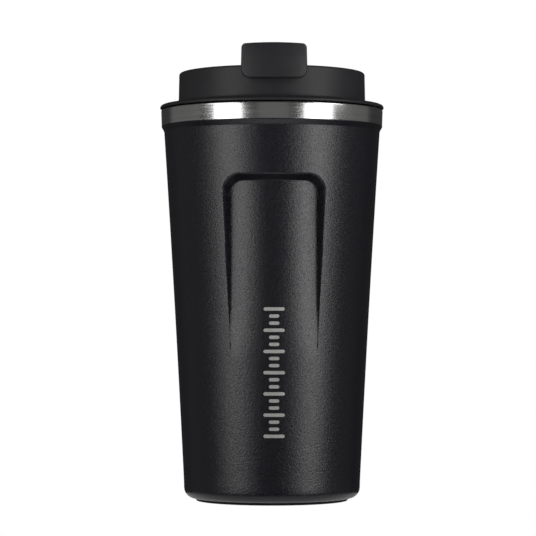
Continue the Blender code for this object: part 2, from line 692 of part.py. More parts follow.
def vent_stopper(material):
    """Small silicone cap on the arm's second post, domed into the vent hole."""
    cap_top = STOPPER_TOP_Z + 1.5 * MM
    socket_floor = STOPPER_TOP_Z - POST_LENGTH - GAP
    cap = turned("vent_stopper", [
        (0, DECK_Z - 0.7 * MM),
        (0.6 * MM, DECK_Z - 0.6 * MM),
        (1.0 * MM, DECK_Z + GAP),
        (VENT_CAP_RADIUS, DECK_Z + GAP),
        (VENT_CAP_RADIUS, cap_top),
        (POST_RADIUS + GAP, cap_top),
        (POST_RADIUS + GAP, socket_floor),
        (0, socket_floor),
    ], material, sides=20)
    cap.location.y = VENT_Y
    return cap


# ---------------------------------------------------------------- assembly
def main():
    clear_scene()
    black_coat = make_material("black_coat", (0.012, 0.012, 0.014), 0.55, 0.0)
    steel = make_material("steel", (0.62, 0.61, 0.59), 0.3, 1.0)
    foil = make_material("foil", (0.85, 0.55, 0.4), 0.2, 1.0)
    getter_metal = make_material("getter_metal", (0.4, 0.4, 0.42), 0.5, 1.0)
    glass_bead = make_material("glass_bead", (0.15, 0.16, 0.17), 0.15, 0.0)
    pad_rubber = make_material("pad_rubber", (0.01, 0.01, 0.01), 0.8, 0.0)
    lid_plastic = make_material("lid_plastic", (0.016, 0.016, 0.018), 0.45, 0.0)
    plug_plastic = make_material("plug_plastic", (0.02, 0.02, 0.022), 0.5, 0.0)
    silicone = make_material("silicone", (0.08, 0.08, 0.085), 0.7, 0.0)

    outer_shell(black_coat)
    inner_liner(steel)
    foil_wrap(foil)
    getter(getter_metal)
    base_plate(steel)
    port_seal(glass_bead)
    foot_pad(pad_rubber)
    lid_shell(lid_plastic)
    lid_plug(plug_plastic)
    lid_gasket(silicone)
    hinge_pin(steel)

    # The flip cover and its stoppers turn about the hinge pin's axis
    hinge = bpy.data.objects.new("flip_axis", None)
    hinge.location = (0, HINGE_Y, HINGE_Z)
    bpy.context.scene.collection.objects.link(hinge)
    bpy.context.view_layer.update()
    for piece in (flip_cover(lid_plastic), drink_stopper(silicone), vent_stopper(silicone)):
        piece.parent = hinge
        piece.matrix_parent_inverse = hinge.matrix_world.inverted()


main()
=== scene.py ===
"""Looks of the insulated travel mug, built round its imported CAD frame.

Metres, +Z up. The front of the mug faces -Y. Each piece rides on the CAD body it belongs to.
"""

import json
import math

import bmesh
import bpy
import numpy as np
from mathutils import Matrix, Vector


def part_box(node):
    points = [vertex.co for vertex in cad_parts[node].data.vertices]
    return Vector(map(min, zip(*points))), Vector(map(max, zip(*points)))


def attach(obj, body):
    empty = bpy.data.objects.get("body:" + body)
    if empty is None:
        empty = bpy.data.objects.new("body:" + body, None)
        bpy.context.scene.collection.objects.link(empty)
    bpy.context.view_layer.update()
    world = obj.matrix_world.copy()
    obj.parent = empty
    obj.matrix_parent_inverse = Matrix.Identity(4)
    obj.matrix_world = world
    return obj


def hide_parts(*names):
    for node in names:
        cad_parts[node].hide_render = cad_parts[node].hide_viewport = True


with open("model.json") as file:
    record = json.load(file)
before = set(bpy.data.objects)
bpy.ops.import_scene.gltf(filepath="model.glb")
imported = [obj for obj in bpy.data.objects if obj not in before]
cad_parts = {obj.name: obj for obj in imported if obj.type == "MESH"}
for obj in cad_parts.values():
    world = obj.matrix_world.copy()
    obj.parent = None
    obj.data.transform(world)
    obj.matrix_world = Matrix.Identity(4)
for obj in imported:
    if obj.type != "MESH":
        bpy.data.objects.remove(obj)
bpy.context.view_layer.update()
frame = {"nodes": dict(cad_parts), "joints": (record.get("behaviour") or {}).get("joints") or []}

MM = 0.001

# ---------------------------------------------------------------- places, from the frame
SHELL_LOW, SHELL_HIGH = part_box("outer_shell")
LID_LOW, LID_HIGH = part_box("lid_shell")
PLUG_LOW, PLUG_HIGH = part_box("lid_plug")
GASKET_LOW, GASKET_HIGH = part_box("lid_gasket")
LINER_LOW, LINER_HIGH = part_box("inner_liner")
PAD_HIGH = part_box("foot_pad")[1]
PIN_LOW, PIN_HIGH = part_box("hinge_pin")
FLIP_LOW, FLIP_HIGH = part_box("flip_cover")
STOPPER_LOW, STOPPER_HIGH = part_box("drink_stopper")
VENT_CAP_LOW, VENT_CAP_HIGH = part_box("vent_stopper")
HINGE = Vector(next(j for j in frame["joints"] if j["name"] == "flip_hinge")["pos_m"])

# ---------------------------------------------------------------- body, as in the CAD model
RIM_Z = SHELL_HIGH.z
RIM_RADIUS = SHELL_HIGH.x
SHELL_WALL = 0.7 * MM
FOOT_OPENING_RADIUS = 28.8 * MM
FOOT_CORNER = 4.2 * MM
CONE_LOW_Z = 7.9 * MM
CONE_LOW_RADIUS = 34.86 * MM
CONE_HIGH_Z = 145.8 * MM
CONE_HIGH_RADIUS = 42.75 * MM
CONE_HOLLOW = 0.26 * MM
BULGE_LOW_Z = 147.7 * MM
BULGE_LOW_RADIUS = 43.8 * MM
COAT_TOP_Z = 148.0 * MM
COAT_THICKNESS = 0.07 * MM

RECESS_TOP_Z = 126.9 * MM
RECESS_END_Z = 58.0 * MM
RECESS_LIP_HALF_WIDTHS = (16.6 * MM, 20.2 * MM)  # at the end, at the top
RECESS_FLOOR_HALF_WIDTHS = (16.6 * MM, 17.9 * MM)
RECESS_FLOOR_RADIUS = 37.6 * MM
RECESS_FLOOR_CURVE = 31.0 * MM
RECESS_TOP_WALL = 2.1 * MM
RECESS_LIP_CORNER = 7.6 * MM
RECESS_FLOOR_CORNER = 7.4 * MM
RECESS_LIP_FILLET = 0.8 * MM
RECESS_FLOOR_FILLET = 0.35 * MM
RECESS_WALL_MIN = 0.25 * MM
FRONT_ARC = math.radians(60)

LINER_WALL = 0.6 * MM
MOUTH_RADIUS = LINER_HIGH.x - LINER_WALL
LINER_CONE_LOW_RADIUS = 32.0 * MM
LINER_CONE_HIGH_RADIUS = 35.5 * MM
LINER_CONE_HIGH_Z = 136.0 * MM
LINER_CORNER = 6.0 * MM
SHOULDER_Z = 140.8 * MM

THREAD_STARTS = 2
THREAD_LEAD = 12.0 * MM
THREAD_LOW_Z = 142.4 * MM
THREAD_HIGH_Z = 152.4 * MM
THREAD_HALF_WIDTH = 1.2 * MM
LINER_THREAD_HEIGHT = 1.05 * MM
PLUG_THREAD_HEIGHT = 1.45 * MM

# ---------------------------------------------------------------- lid, as in the CAD model
FLANGE_RADIUS = LID_HIGH.x
FLANGE_LOW_Z = RIM_Z + 0.3 * MM
FLANGE_HIGH_Z = 156.3 * MM
WALL_TOP_Z = 169.1 * MM
WALL_TOP_RADIUS = 36.8 * MM
WALL_LOW_RADIUS = 37.05 * MM
WALL_INNER_RADIUS = 34.9 * MM
DECK_Z = 162.5 * MM
DECK_THICKNESS = 2.0 * MM
SPIGOT_RADIUS = 36.2 * MM
SPIGOT_INNER_RADIUS = 34.6 * MM
DRINK_HOLE_SIZE = (16.0 * MM, 7.6 * MM)
DRINK_HOLE_Y = (STOPPER_LOW.y + STOPPER_HIGH.y) / 2
VENT_Y = (VENT_CAP_LOW.y + VENT_CAP_HIGH.y) / 2
VENT_RADIUS = 1.5 * MM
CHANNEL_WALL = 1.2 * MM
PLUG_RADIUS = 38.3 * MM
PLUG_INNER_RADIUS = 36.5 * MM
PLUG_FLOOR = 1.6 * MM
PLUG_TOP_Z = FLANGE_LOW_Z - 0.3 * MM
GROOVE_RADIUS = 36.9 * MM
EAR_INNER_X = 8.2 * MM
EAR_THICKNESS = 3.4 * MM
EAR_RADIUS = LID_HIGH.z - HINGE.z
PIN_RADIUS = (PIN_HIGH.z - PIN_LOW.z) / 2
PIN_GAP = 0.3 * MM
BARREL_RADIUS = 3.4 * MM
BARREL_HALF_LENGTH = 7.8 * MM
ARM_LOW_Z = 169.4 * MM
ARM_HIGH_Z = 172.2 * MM
ARM_HALF_WIDTH = 10.0 * MM
TAB_INNER_RADIUS = 37.6 * MM
TAB_OUTER_RADIUS = -FLIP_LOW.y
TAB_HALF_WIDTH = 12.8 * MM
TAB_LOW_Z = 163.8 * MM
TAB_HIGH_Z = FLIP_HIGH.z
TAB_LOW_CORNER = 3.5 * MM
TAB_HIGH_CORNER = 1.6 * MM
TAB_CROWN = 0.35 * MM
POST_RADIUS = 1.5 * MM

# Row of etched graduation marks low on the front, in three lengths
MARK_TOP_Z = 75.5 * MM
MARK_PITCH = 2.7 * MM
MARK_COUNT = 19
MARK_THICKNESS = 1.3 * MM
MARK_PROUD = 0.04 * MM
MARK_SINK = 0.3 * MM
MARK_COLUMNS = 12
MARK_END_STEPS = 8
MARK_LENGTHS = (8.2 * MM, 4.0 * MM, 4.0 * MM)


# ---------------------------------------------------------------- outlines
def rounded(corners, steps=8):
    """Closed outline from (u, v, radius) corners, each rounded with an arc."""
    outline = []
    count = len(corners)
    for index, (u, v, radius) in enumerate(corners):
        if radius == 0:
            outline.append((u, v))
            continue
        before = corners[index - 1]
        after = corners[(index + 1) % count]
        to_before = math.atan2(before[1] - v, before[0] - u)
        to_after = math.atan2(after[1] - v, after[0] - u)
        opening = (to_after - to_before) % math.tau
        convex = opening > math.pi
        half = (math.tau - opening) / 2 if convex else opening / 2
        middle = to_before - half if convex else to_before + half
        centre_u = u + radius / math.sin(half) * math.cos(middle)
        centre_v = v + radius / math.sin(half) * math.sin(middle)
        start = to_before + math.pi / 2 if convex else to_before - math.pi / 2
        sweep = math.pi - 2 * half
        for step in range(steps + 1):
            turn = sweep * step / steps
            angle = start + turn if convex else start - turn
            outline.append((centre_u + radius * math.cos(angle), centre_v + radius * math.sin(angle)))
    return outline


def racetrack(width, depth, centre_v, steps=16):
    """Outline of a slot with round ends, long in its first direction."""
    radius = depth / 2
    reach = width / 2 - radius
    points = []
    for side in (1, -1):
        for step in range(steps + 1):
            angle = math.pi * (step / steps - 0.5)
            points.append((side * (reach + radius * math.cos(angle)),
                           centre_v + side * radius * math.sin(angle)))
    return points


def circle(radius, centre, steps=48):
    return [(centre[0] + radius * math.cos(math.tau * step / steps),
             centre[1] + radius * math.sin(math.tau * step / steps)) for step in range(steps)]


def offset_wall(points, thickness):
    """The far side of a sheet: each point moved to the left of the path, in reverse order."""
    far_side = []
    last = len(points) - 1
    for index, (r, z) in enumerate(points):
        ahead = points[min(index + 1, last)]
        behind = points[max(index - 1, 0)]
        length = math.hypot(ahead[0] - behind[0], ahead[1] - behind[1])
        across = (-(ahead[1] - behind[1]) / length, (ahead[0] - behind[0]) / length)
        far_side.append((r + thickness * across[0], z + thickness * across[1]))
    return far_side[::-1]


# ---------------------------------------------------------------- meshes
def link_mesh(name, mesh, sharp=35):
    mesh.shade_smooth()
    mesh.set_sharp_from_angle(angle=math.radians(sharp))
    obj = bpy.data.objects.new(name, mesh)
    bpy.context.scene.collection.objects.link(obj)
    return obj


def turned(name, section, sides=160, angles=None, swing=None, reshape=None, sharp=35):
    """Solid of revolution of an (r, z) section that runs anticlockwise, upwards on its outer side."""
    if angles is None:
        angles = np.arange(sides) * math.tau / sides
    section = np.array(section)
    radius = np.repeat(section[:, :1], len(angles), axis=1)
    height = np.repeat(section[:, 1:], len(angles), axis=1)
    around = np.repeat(np.array(angles)[None, :], len(section), axis=0)
    if swing:
        around = swing(around, height)
    if reshape:
        radius = reshape(radius, around, height)
    points = np.stack([radius * np.cos(around), radius * np.sin(around), height], axis=-1)
    rows, columns = radius.shape
    index = np.arange(rows * columns).reshape(rows, columns)
    above = np.roll(index, -1, axis=0)
    quads = np.stack([index, np.roll(index, -1, axis=1), np.roll(above, -1, axis=1), above], axis=-1)
    on_axis = section[:, 0] == 0
    keep = ~(on_axis & np.roll(on_axis, -1))
    mesh = bpy.data.meshes.new(name)
    mesh.from_pydata(points.reshape(-1, 3).tolist(), [], quads[keep].reshape(-1, 4).tolist())
    builder = bmesh.new()
    builder.from_mesh(mesh)
    if on_axis.any():
        poles = [v for v in builder.verts if math.hypot(v.co.x, v.co.y) < 1e-9]
        bmesh.ops.remove_doubles(builder, verts=poles, dist=1e-8)
    bmesh.ops.delete(builder, geom=[v for v in builder.verts if not v.link_faces], context='VERTS')
    builder.to_mesh(mesh)
    builder.free()
    return link_mesh(name, mesh, sharp)


def prism(name, outline, low, high, axis='Z', edge=0.0, steps=3):
    """Prism of an outline with its two rims rounded. Its plane is XY, YZ or XZ for axis Z, X or Y."""
    place = {
        'Z': lambda u, v, w: (u, v, w),
        'X': lambda u, v, w: (w, u, v),
        'Y': lambda u, v, w: (u, w, v),
    }[axis]
    builder = bmesh.new()
    bottom = [builder.verts.new(place(u, v, low)) for u, v in outline]
    top = [builder.verts.new(place(u, v, high)) for u, v in outline]
    caps = [builder.faces.new(bottom[::-1]), builder.faces.new(top)]
    for here in range(len(outline)):
        there = (here + 1) % len(outline)
        builder.faces.new((bottom[here], bottom[there], top[there], top[here]))
    bmesh.ops.recalc_face_normals(builder, faces=builder.faces)
    if edge:
        rims = list({e for cap in caps for e in cap.edges})
        bmesh.ops.bevel(builder, geom=rims, offset=edge, segments=steps, profile=0.5, affect='EDGES')
    mesh = bpy.data.meshes.new(name)
    builder.to_mesh(mesh)
    builder.free()
    return link_mesh(name, mesh)


def combine(target, tool, operation):
    """Join or cut target with a tool object, and drop the tool."""
    modifier = target.modifiers.new("combine", 'BOOLEAN')
    modifier.operation = operation
    modifier.solver = 'EXACT'
    modifier.object = tool
    depsgraph = bpy.context.evaluated_depsgraph_get()
    mesh = bpy.data.meshes.new_from_object(target.evaluated_get(depsgraph))
    target.modifiers.clear()
    target.data = mesh
    bpy.data.objects.remove(tool, do_unlink=True)
    mesh.shade_smooth()
    mesh.set_sharp_from_angle(angle=math.radians(35))


def finish_piece(piece, material, body, slot, *nodes):
    """Give a piece its material and body, and hide the CAD nodes that it stands for. The slot
    argument is not used.
    """
    piece.data.materials.clear()
    piece.data.materials.append(material)
    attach(piece, body)
    if nodes:
        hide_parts(*nodes)


# ---------------------------------------------------------------- materials
class Shader:
    """A Principled material and the few kinds of node that the mug's materials share."""

    def __init__(self, name, colour, roughness, metallic=0.0, **inputs):
        self.material = bpy.data.materials.new(name)
        self.material.use_nodes = True
        self.tree = self.material.node_tree
        self.surface = self.tree.nodes["Principled BSDF"]
        self.surface.inputs["Base Color"].default_value = (*colour, 1.0)
        self.surface.inputs["Roughness"].default_value = roughness
        self.surface.inputs["Metallic"].default_value = metallic
        for socket, value in inputs.items():
            self.surface.inputs[socket.replace("_", " ")].default_value = value
        self.place = self.add("ShaderNodeTexCoord").outputs["Object"]

    def add(self, kind, **settings):
        node = self.tree.nodes.new(kind)
        for key, value in settings.items():
            setattr(node, key, value)
        return node

    def stretched(self, scale):
        mapping = self.add("ShaderNodeMapping")
        mapping.inputs["Scale"].default_value = scale
        self.tree.links.new(self.place, mapping.inputs["Vector"])
        return mapping.outputs["Vector"]

    def noise(self, size, detail=2.0, roughness=0.5, stretch=None):
        """Noise whose blobs are about size metres across."""
        node = self.add("ShaderNodeTexNoise")
        node.inputs["Scale"].default_value = 1 / size
        node.inputs["Detail"].default_value = detail
        node.inputs["Roughness"].default_value = roughness
        source = self.stretched(stretch) if stretch else self.place
        self.tree.links.new(source, node.inputs["Vector"])
        return node.outputs["Fac"]

    def ranged(self, value, low, high, from_low=0.3, from_high=0.7):
        node = self.add("ShaderNodeMapRange")
        node.inputs["From Min"].default_value = from_low
        node.inputs["From Max"].default_value = from_high
        node.inputs["To Min"].default_value = low
        node.inputs["To Max"].default_value = high
        self.tree.links.new(value, node.inputs["Value"])
        return node.outputs["Result"]

    def vary_roughness(self, value, low, high):
        self.tree.links.new(self.ranged(value, low, high), self.surface.inputs["Roughness"])

    def vary_colour(self, value, dark, light):
        node = self.add("ShaderNodeValToRGB")
        node.color_ramp.elements[0].position = 0.3
        node.color_ramp.elements[0].color = (*dark, 1.0)
        node.color_ramp.elements[1].position = 0.7
        node.color_ramp.elements[1].color = (*light, 1.0)
        self.tree.links.new(value, node.inputs["Fac"])
        self.tree.links.new(node.outputs["Color"], self.surface.inputs["Base Color"])

    def bump(self, value, depth, strength=1.0, under=None):
        node = self.add("ShaderNodeBump")
        node.inputs["Distance"].default_value = depth
        node.inputs["Strength"].default_value = strength
        self.tree.links.new(value, node.inputs["Height"])
        if under:
            self.tree.links.new(under, node.inputs["Normal"])
        self.tree.links.new(node.outputs["Normal"], self.surface.inputs["Normal"])
        return node.outputs["Normal"]


def powder_coat():
    """Matt black powder coat: fine grain over a faint orange peel."""
    shader = Shader("powder_coat", (0.003, 0.003, 0.004), 0.35)
    grain = shader.noise(0.7 * MM, detail=3.0, roughness=0.7)
    shader.vary_colour(grain, (0.0013, 0.0011, 0.003), (0.0042, 0.0038, 0.0082))
    shader.vary_roughness(grain, 0.26, 0.42)
    peel = shader.bump(shader.noise(1.4 * MM, detail=1.0), 0.01 * MM)
    shader.bump(grain, 0.105 * MM, under=peel)
    return shader.material


def brushed_steel():
    """Bare rim, brushed round the mug."""
    shader = Shader("brushed_steel", (0.62, 0.61, 0.59), 0.2, metallic=1.0)
    lines = shader.noise(1 * MM, detail=4.0, roughness=0.65, stretch=(0.02, 0.02, 8.0))
    shader.vary_colour(lines, (0.40, 0.40, 0.395), (0.62, 0.62, 0.61))
    shader.vary_roughness(lines, 0.14, 0.26)
    shader.bump(lines, 0.004 * MM)
    return shader.material


def liner_steel():
    """Inside of the flask: spun steel with soft turning lines."""
    shader = Shader("liner_steel", (0.6, 0.6, 0.59), 0.28, metallic=1.0)
    lines = shader.noise(1 * MM, detail=3.0, stretch=(0.05, 0.05, 2.0))
    shader.vary_colour(lines, (0.5, 0.5, 0.49), (0.64, 0.64, 0.63))
    shader.vary_roughness(lines, 0.22, 0.34)
    shader.bump(lines, 0.006 * MM)
    return shader.material


def etched_mark():
    """Steel laid bare by a laser: pale, dull and slightly mottled."""
    shader = Shader("etched_mark", (0.36, 0.35, 0.33), 0.55, metallic=0.6)
    mottle = shader.noise(0.25 * MM, detail=3.0)
    shader.vary_colour(mottle, (0.34, 0.335, 0.325), (0.55, 0.54, 0.52))
    shader.vary_roughness(mottle, 0.45, 0.65)
    shader.bump(mottle, 0.01 * MM)
    return shader.material


def lid_plastic():
    """Moulded black plastic with a fine spark-eroded texture."""
    shader = Shader("lid_plastic", (0.0125, 0.0125, 0.0135), 0.5, Specular_IOR_Level=0.32)
    grain = shader.noise(0.6 * MM, detail=3.0, roughness=0.7)
    patches = shader.noise(9 * MM, detail=2.0)
    shader.vary_colour(patches, (0.0135, 0.0133, 0.0152), (0.018, 0.0178, 0.0204))
    shader.vary_roughness(grain, 0.45, 0.55)
    shader.bump(grain, 0.02 * MM)
    return shader.material


def plug_plastic():
    """Satin black moulding of the plug, a little smoother than the lid."""
    shader = Shader("plug_plastic", (0.02, 0.02, 0.021), 0.35)
    grain = shader.noise(0.6 * MM, detail=2.0)
    shader.vary_colour(grain, (0.017, 0.017, 0.018), (0.023, 0.023, 0.0245))
    shader.vary_roughness(grain, 0.28, 0.38)
    shader.bump(grain, 0.008 * MM)
    return shader.material


def silicone():
    """Soft grey silicone with a dusty sheen."""
    shader = Shader("silicone", (0.085, 0.085, 0.09), 0.6, Sheen_Weight=0.15)
    grain = shader.noise(0.5 * MM, detail=3.0)
    shader.vary_colour(grain, (0.07, 0.07, 0.074), (0.1, 0.1, 0.105))
    shader.vary_roughness(grain, 0.52, 0.68)
    shader.bump(grain, 0.01 * MM)
    return shader.material


def pad_rubber():
    """Matt black rubber of the foot pad."""
    shader = Shader("pad_rubber", (0.0035, 0.0035, 0.0035), 0.75, Specular_IOR_Level=0.2)
    grain = shader.noise(0.5 * MM, detail=3.0)
    shader.vary_colour(grain, (0.002, 0.002, 0.002), (0.005, 0.005, 0.005))
    shader.vary_roughness(grain, 0.68, 0.82)
    shader.bump(grain, 0.02 * MM)
    return shader.material


def mottled_metal(name, dark, light, roughness):
    """Plain metal of the hidden vacuum parts, with a mottled surface."""
    shader = Shader(name, light, roughness, metallic=1.0)
    mottle = shader.noise(1.5 * MM, detail=3.0)
    shader.vary_colour(mottle, dark, light)
    shader.vary_roughness(mottle, roughness - 0.06, roughness + 0.06)
    shader.bump(mottle, 0.02 * MM)
    return shader.material


def glass_bead():
    """Dark solder glass of the port's seal."""
    shader = Shader("glass_bead", (0.05, 0.055, 0.06), 0.12)
    swirl = shader.noise(1.2 * MM, detail=2.0)
    shader.vary_colour(swirl, (0.035, 0.04, 0.045), (0.07, 0.075, 0.08))
    shader.vary_roughness(swirl, 0.08, 0.18)
    return shader.material


# ---------------------------------------------------------------- body
def cone_radius(z):
    """Outer radius of the body between the foot corner and the neck."""
    share = (z - CONE_LOW_Z) / (CONE_HIGH_Z - CONE_LOW_Z)
    straight = CONE_LOW_RADIUS + share * (CONE_HIGH_RADIUS - CONE_LOW_RADIUS)
    return straight - 4 * CONE_HOLLOW * share * (1 - share)


def soft_ramp(value, fillet):
    """max(0, value) with its corner rounded over fillet either side."""
    blend = np.clip(value + fillet, 0, 2 * fillet)
    return np.where(value > fillet, value, blend * blend / (4 * fillet))


def soft_lower(first, second, fillet):
    """min(first, second) with the corner between them rounded."""
    return first - soft_ramp(first - second, fillet)


def away_from_front(angle):
    """Signed angle from the front, -pi to pi."""
    return (angle + math.pi / 2 + math.pi) % math.tau - math.pi


def recess_half_angles(z):
    """Angles from the front to the edge of the recess floor and to its lip at a height."""
    share = np.clip((z - RECESS_END_Z) / (RECESS_TOP_Z - RECESS_END_Z), 0, 1)
    floor_x = RECESS_FLOOR_HALF_WIDTHS[0] * (1 - share) + RECESS_FLOOR_HALF_WIDTHS[1] * share
    lip_x = RECESS_LIP_HALF_WIDTHS[0] * (1 - share) + RECESS_LIP_HALF_WIDTHS[1] * share
    lip_radius = np.maximum(cone_radius(z), RECESS_FLOOR_RADIUS)
    floor_angle = np.arcsin(floor_x / RECESS_FLOOR_RADIUS)
    lip_angle = np.arcsin(lip_x / lip_radius)
    return floor_angle, np.maximum(lip_angle, floor_angle + RECESS_WALL_MIN / lip_radius)


def inside_arch(across, down, corner):
    """Distance inside an arch with round shoulders, negative outside it."""
    in_corner = (across < corner) & (down < corner)
    round_corner = corner - np.hypot(corner - across, corner - down)
    return np.where(in_corner, round_corner, np.minimum(across, down))


def recess_floor(from_front, z):
    """Radius of the recess floor, curved tighter than the body; the curve eases off to the end."""
    ahead = RECESS_FLOOR_RADIUS - RECESS_FLOOR_CURVE
    chord = np.sqrt(RECESS_FLOOR_CURVE ** 2 - (ahead * np.sin(from_front)) ** 2)
    curved = ahead * np.cos(from_front) + chord
    share = np.clip((z - RECESS_END_Z) / (RECESS_TOP_Z - RECESS_END_Z), 0, 1)
    return curved + (1 - share) ** 4 * (RECESS_FLOOR_RADIUS - curved)


def recess_depth(angle, z):
    """How far the front recess is pressed in at an angle round the body."""
    radius = cone_radius(z)
    from_front = np.abs(away_from_front(angle))
    floor_angle, lip_angle = recess_half_angles(z)
    lip = inside_arch((lip_angle - from_front) * radius, RECESS_TOP_Z - z, RECESS_LIP_CORNER)
    floor_edge = inside_arch((floor_angle - from_front) * radius, RECESS_TOP_Z - RECESS_TOP_WALL - z,
                             RECESS_FLOOR_CORNER)
    full = soft_ramp(radius - recess_floor(from_front, z), RECESS_FLOOR_FILLET)
    width = np.maximum(lip - floor_edge, RECESS_WALL_MIN)
    wall = full / width * soft_ramp(lip, np.minimum(0.35 * width, RECESS_LIP_FILLET))
    depth = np.maximum(0.0, soft_lower(wall, full, RECESS_FLOOR_FILLET))
    return np.where(from_front < FRONT_ARC, depth, 0.0)


def follow_recess(angle, z):
    """Swing the columns of the front so that they run along the edges of the recess."""
    from_front = away_from_front(angle)
    size = np.abs(from_front)
    at_top = recess_half_angles(RECESS_TOP_Z)
    here = recess_half_angles(z)
    knots_from = (0.0, *at_top, FRONT_ARC)
    knots_to = (0.0, *here, FRONT_ARC)
    swung = size
    for index in range(3):
        low, high = knots_from[index], knots_from[index + 1]
        share = (size - low) / (high - low)
        between = knots_to[index] + share * (knots_to[index + 1] - knots_to[index])
        swung = np.where((size >= low) & (size < high), between, swung)
    return np.sign(from_front) * swung - math.pi / 2


def body_angles():
    """Angles round the body, close together across the walls of the recess."""
    degrees = []
    stations = (
        (0, 15, 1.5), (15, 25.5, 0.25), (25.5, 30.5, 0.1),
        (30.5, 34, 0.5), (34, 60, 2), (60, 180, 3),
    )
    for start, stop, step in stations:
        degrees += list(np.arange(start, stop - 1e-6, step))
    right = np.array(degrees)
    both = np.concatenate([right, [180.0], -right[:0:-1]])
    return np.radians(both) - math.pi / 2


def body_heights():
    """Heights up the cone, close together across the top wall of the recess."""
    stations = []
    for start, stop, step in ((7.9, 54, 4.0), (54, 116, 1.0), (116, 129, 0.15), (129, 145.1, 2.0)):
        stations += list(np.arange(start, stop - 1e-6, step))
    return [z * MM for z in stations] + [CONE_HIGH_Z]


def build_body(coat, steel, mark):
    foot_z = SHELL_LOW.z
    foot = rounded([
        (FOOT_OPENING_RADIUS, foot_z, 0),
        (CONE_LOW_RADIUS - 0.2 * MM, foot_z, FOOT_CORNER),
        (CONE_LOW_RADIUS, CONE_LOW_Z, 0),
    ])[:-1]
    bulge_slope = (RIM_RADIUS - BULGE_LOW_RADIUS) / (RIM_Z - BULGE_LOW_Z)
    coat_edge_radius = BULGE_LOW_RADIUS + bulge_slope * (COAT_TOP_Z - BULGE_LOW_Z)
    neck = rounded([
        (CONE_HIGH_RADIUS - 1 * MM, CONE_HIGH_Z - 17 * MM, 0),
        (CONE_HIGH_RADIUS, CONE_HIGH_Z, 1.2 * MM),
        (BULGE_LOW_RADIUS, BULGE_LOW_Z, 0.4 * MM),
        (coat_edge_radius, COAT_TOP_Z, 0),
    ])[1:]
    cone = [(cone_radius(z), z) for z in body_heights() if z < neck[0][1] - 0.2 * MM]
    outer = foot + cone + neck
    coarse = foot[::3] + cone[::4] + neck[::4] + [neck[-1]]
    section = outer + offset_wall(coarse, SHELL_WALL)
    coated = turned("coated_body", section, angles=body_angles(), swing=follow_recess,
                    reshape=lambda r, angle, z: r - recess_depth(angle, z))
    finish_piece(coated, coat, "mug", "body_coat", "outer_shell")

    bare_radius = coat_edge_radius - COAT_THICKNESS
    land_end = LINER_HIGH.x + 0.15 * MM
    band_outer = rounded([
        (bare_radius, COAT_TOP_Z + 0.02 * MM, 0),
        (RIM_RADIUS - COAT_THICKNESS, RIM_Z, 0.8 * MM),
        (land_end, RIM_Z, 0),
    ])
    rim = turned("rim_band", band_outer + offset_wall(band_outer, SHELL_WALL), sides=256)
    finish_piece(rim, steel, "mug", "steel", "outer_shell")
    finish_piece(graduation_marks(), mark, "mug", "steel")


def graduation_marks():
    """Rounded bars in a column, wrapped onto the front of the body."""
    builder = bmesh.new()
    for row in range(MARK_COUNT):
        z = MARK_TOP_Z - row * MARK_PITCH
        length = MARK_LENGTHS[row % len(MARK_LENGTHS)]
        half = MARK_THICKNESS / 2
        reach = length / 2 - half
        columns = MARK_COLUMNS
        near = []
        far = []
        outline = []
        for side in (1, -1):
            for step in range(MARK_END_STEPS + 1):
                angle = math.pi * (step / MARK_END_STEPS - 0.5)
                across = side * (reach + half * math.cos(angle))
                outline.append((across, side * half * math.sin(angle)))
            for step in range(1, columns):
                outline.append((side * reach * (1 - 2 * step / columns), side * half))
        for x, up in outline:
            height = z + up
            radius = cone_radius(height)
            angle = math.asin(x / radius)
            depth = float(recess_depth(np.array(angle - math.pi / 2), np.array(height)))
            surface = radius - depth
            for shell, ring in ((surface + MARK_PROUD, near), (surface - MARK_SINK, far)):
                place = (shell * math.sin(angle), -shell * math.cos(angle), height)
                ring.append(builder.verts.new(place))
        count = len(outline)
        for here in range(count):
            there = (here + 1) % count
            builder.faces.new((near[here], near[there], far[there], far[here]))
        upper = count // 2
        for ring in (near, far):
            left = [ring[(MARK_END_STEPS + step) % count] for step in range(columns + 1)]
            right = [ring[(count - step) % count] for step in range(columns + 1)]
            for step in range(columns):
                builder.faces.new((left[step], left[step + 1], right[step + 1], right[step]))
            builder.faces.new([ring[step] for step in range(MARK_END_STEPS + 1)])
            builder.faces.new([ring[upper + step] for step in range(MARK_END_STEPS + 1)])
    bmesh.ops.recalc_face_normals(builder, faces=builder.faces)
    mesh = bpy.data.meshes.new("graduation_marks")
    builder.to_mesh(mesh)
    builder.free()
    return link_mesh("graduation_marks", mesh)


def thread_ridge(angle, z, phase):
    """Height, 0 to 1, of a round-topped right-hand ridge at a point of the threaded zone."""
    pitch = THREAD_LEAD / THREAD_STARTS
    along = (z - THREAD_LEAD * angle / math.tau - phase * pitch) % pitch
    from_crest = np.minimum(along, pitch - along)
    ridge = np.cos(np.clip(from_crest / THREAD_HALF_WIDTH, 0, 1) * math.pi) * 0.5 + 0.5
    run_out = np.clip(np.minimum(z - THREAD_LOW_Z, THREAD_HIGH_Z - z) / (1.5 * MM), 0, 1)
    return ridge * run_out * run_out * (3 - 2 * run_out)


def thread_heights():
    return list(np.linspace(THREAD_LOW_Z, THREAD_HIGH_Z, 60))


